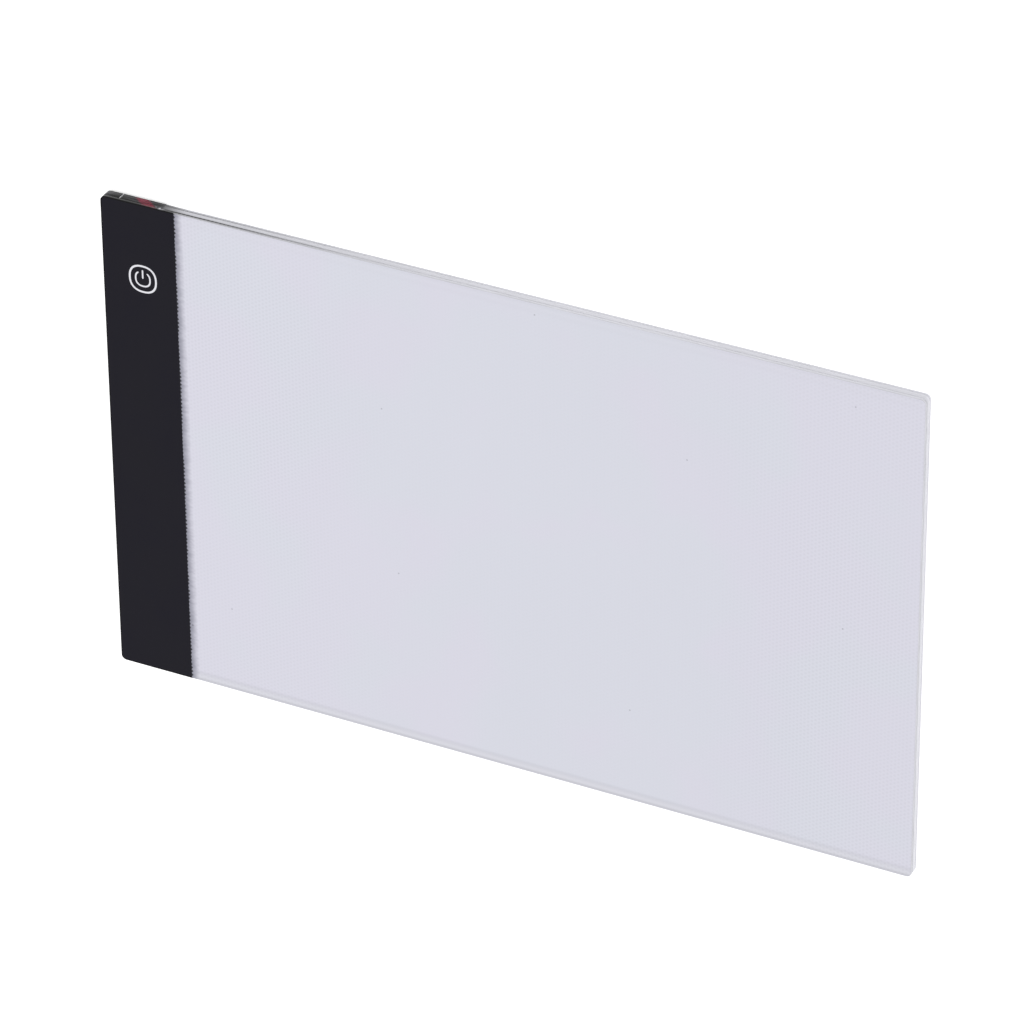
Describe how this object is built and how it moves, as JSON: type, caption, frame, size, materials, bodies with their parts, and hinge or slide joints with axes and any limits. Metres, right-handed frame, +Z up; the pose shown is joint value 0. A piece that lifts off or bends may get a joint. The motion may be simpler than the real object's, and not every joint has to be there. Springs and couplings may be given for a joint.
{
  "type": "light pad",
  "caption": "Thin edge-lit light pad for tracing: white diffusing face, black band at one end with a touch key, clear acrylic edges, power socket in the end.",
  "frame": {"origin": "on the surface that the feet stand on, under the middle of the pad", "axes": "+X along the long side, away from the black band; +Y across, towards the long side nearer the touch key; +Z up out of the lit face"},
  "size_m": [0.24, 0.15, 0.0044],
  "materials": {
    "clear_acrylic": "clear, polished edges",
    "satin_front": "fine satin over the white diffuser",
    "white_film": "matt",
    "white_sheet": "fine satin",
    "black_film": "matt, fine grain",
    "white_print": "screen-printed ink",
    "clear_tape": "clear adhesive",
    "glue": "cured clear adhesive",
    "strip_mask": "white solder mask",
    "board_mask": "green solder mask",
    "led_housing": "moulded",
    "phosphor": "cured gel",
    "chip_black": "moulded epoxy",
    "capacitor": "fired ceramic",
    "red_insulation": "extruded",
    "black_insulation": "extruded",
    "solder": "bright solder",
    "tin_plate": "tin plated",
    "socket_steel": "nickel plated",
    "contact_gold": "gold flash",
    "socket_plastic": "moulded",
    "copper": "copper foil",
    "grey_foam": "fine cell foam",
    "silicone": "clear silicone"
  },
  "bodies": {
    "root": {"front_sheet": "satin_front", "front_band_film": "black_film", "power_symbol_print": "white_print", "diffuser_film": "white_film", "front_edge_tape": "clear_tape", "light_guide_plate": "clear_acrylic", "rear_edge_tape": "clear_tape", "reflector_film": "white_film", "back_sheet": "white_sheet", "bay_cover": "black_film", "end_bar_long": "clear_acrylic", "end_bar_short": "clear_acrylic", "side_bar_upper": "clear_acrylic", "side_bar_lower": "clear_acrylic", "glue_joint_upper": "glue", "glue_joint_lower": "glue", "led_strip_board": "strip_mask", "led_phosphor": "phosphor", "strip_resistors": "chip_black", "red_wire": "red_insulation", "black_wire": "black_insulation", "wire_solder": "solder", "board_pad": "grey_foam", "controller_board": "board_mask", "touch_chip": "chip_black", "touch_chip_legs": "tin_plate", "led_transistor": "chip_black", "transistor_legs": "tin_plate", "board_resistors": "chip_black", "board_capacitors": "capacitor", "usb_shell": "socket_steel", "usb_insulator": "socket_plastic", "usb_contacts": "contact_gold", "usb_solder": "solder", "touch_electrode": "copper", "touch_foam": "grey_foam", "led_01": "led_housing", "led_02": "led_housing", "led_03": "led_housing", "led_04": "led_housing", "led_05": "led_housing", "led_06": "led_housing", "led_07": "led_housing", "led_08": "led_housing", "led_09": "led_housing", "led_10": "led_housing", "led_11": "led_housing", "led_12": "led_housing", "led_13": "led_housing", "led_14": "led_housing", "led_15": "led_housing", "led_16": "led_housing", "led_17": "led_housing", "led_18": "led_housing", "foot_1": "silicone", "foot_2": "silicone", "foot_3": "silicone", "foot_4": "silicone"}
  },
  "joints": []
}
